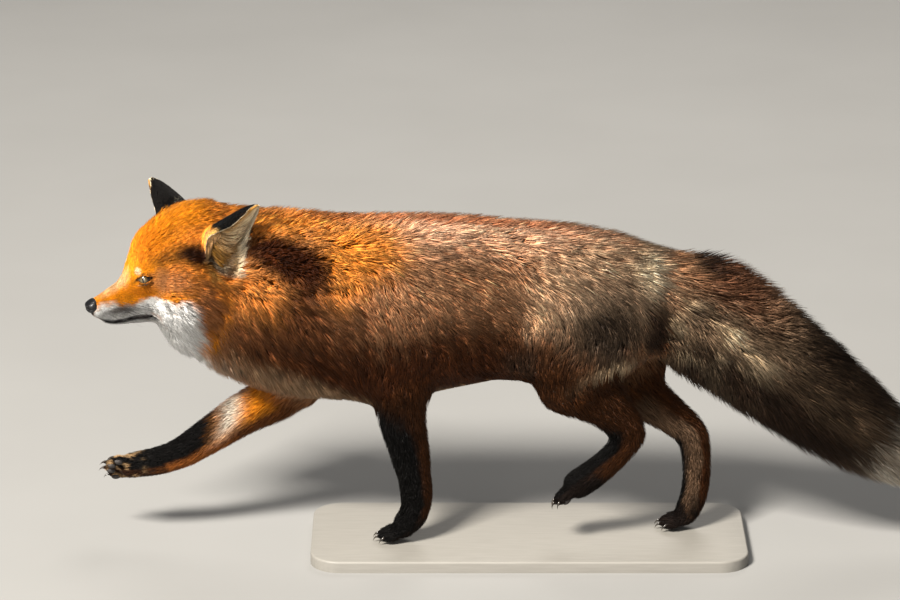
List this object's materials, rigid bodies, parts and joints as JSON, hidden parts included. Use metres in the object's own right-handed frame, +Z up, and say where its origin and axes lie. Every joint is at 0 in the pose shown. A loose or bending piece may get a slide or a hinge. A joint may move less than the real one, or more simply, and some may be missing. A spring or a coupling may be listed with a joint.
{
  "type": "red fox",
  "caption": "Life-size red fox in its winter coat, trotting with its head low and its brush trailing, on a plain flat display base.",
  "frame": {"origin": "centre of the underside of the display base, below the middle of the body", "axes": "+Z up; the fox faces -X, with its left side towards -Y and its tail towards +X"},
  "size_m": [1.0382, 0.2, 0.4484],
  "materials": {
    "fur_rust": "long fox fur, rusty orange to brown, guard hairs over a dark base",
    "fur_black": "short flat black-brown fur",
    "fur_white": "soft white to cream fur",
    "nose_leather": "moist pebbled black skin",
    "eye_amber": "wet glossy eye with an amber iris and an upright slit pupil",
    "stand_board": "matt painted board with eased edges"
  },
  "bodies": {
    "root": {"trunk": "fur_rust", "head": "fur_rust", "neck": "fur_rust", "foreleg_left": "fur_rust", "foreleg_right": "fur_rust", "hindleg_left": "fur_rust", "hindleg_right": "fur_rust", "tail": "fur_rust", "ear_left": "fur_black", "ear_right": "fur_black", "forepaw_left": "fur_black", "forepaw_right": "fur_black", "hindpaw_left": "fur_black", "hindpaw_right": "fur_black", "lower_jaw": "fur_white", "tail_tip": "fur_white", "nose": "nose_leather", "eye_left": "eye_amber", "eye_right": "eye_amber", "stand_base": "stand_board"}
  },
  "joints": []
}
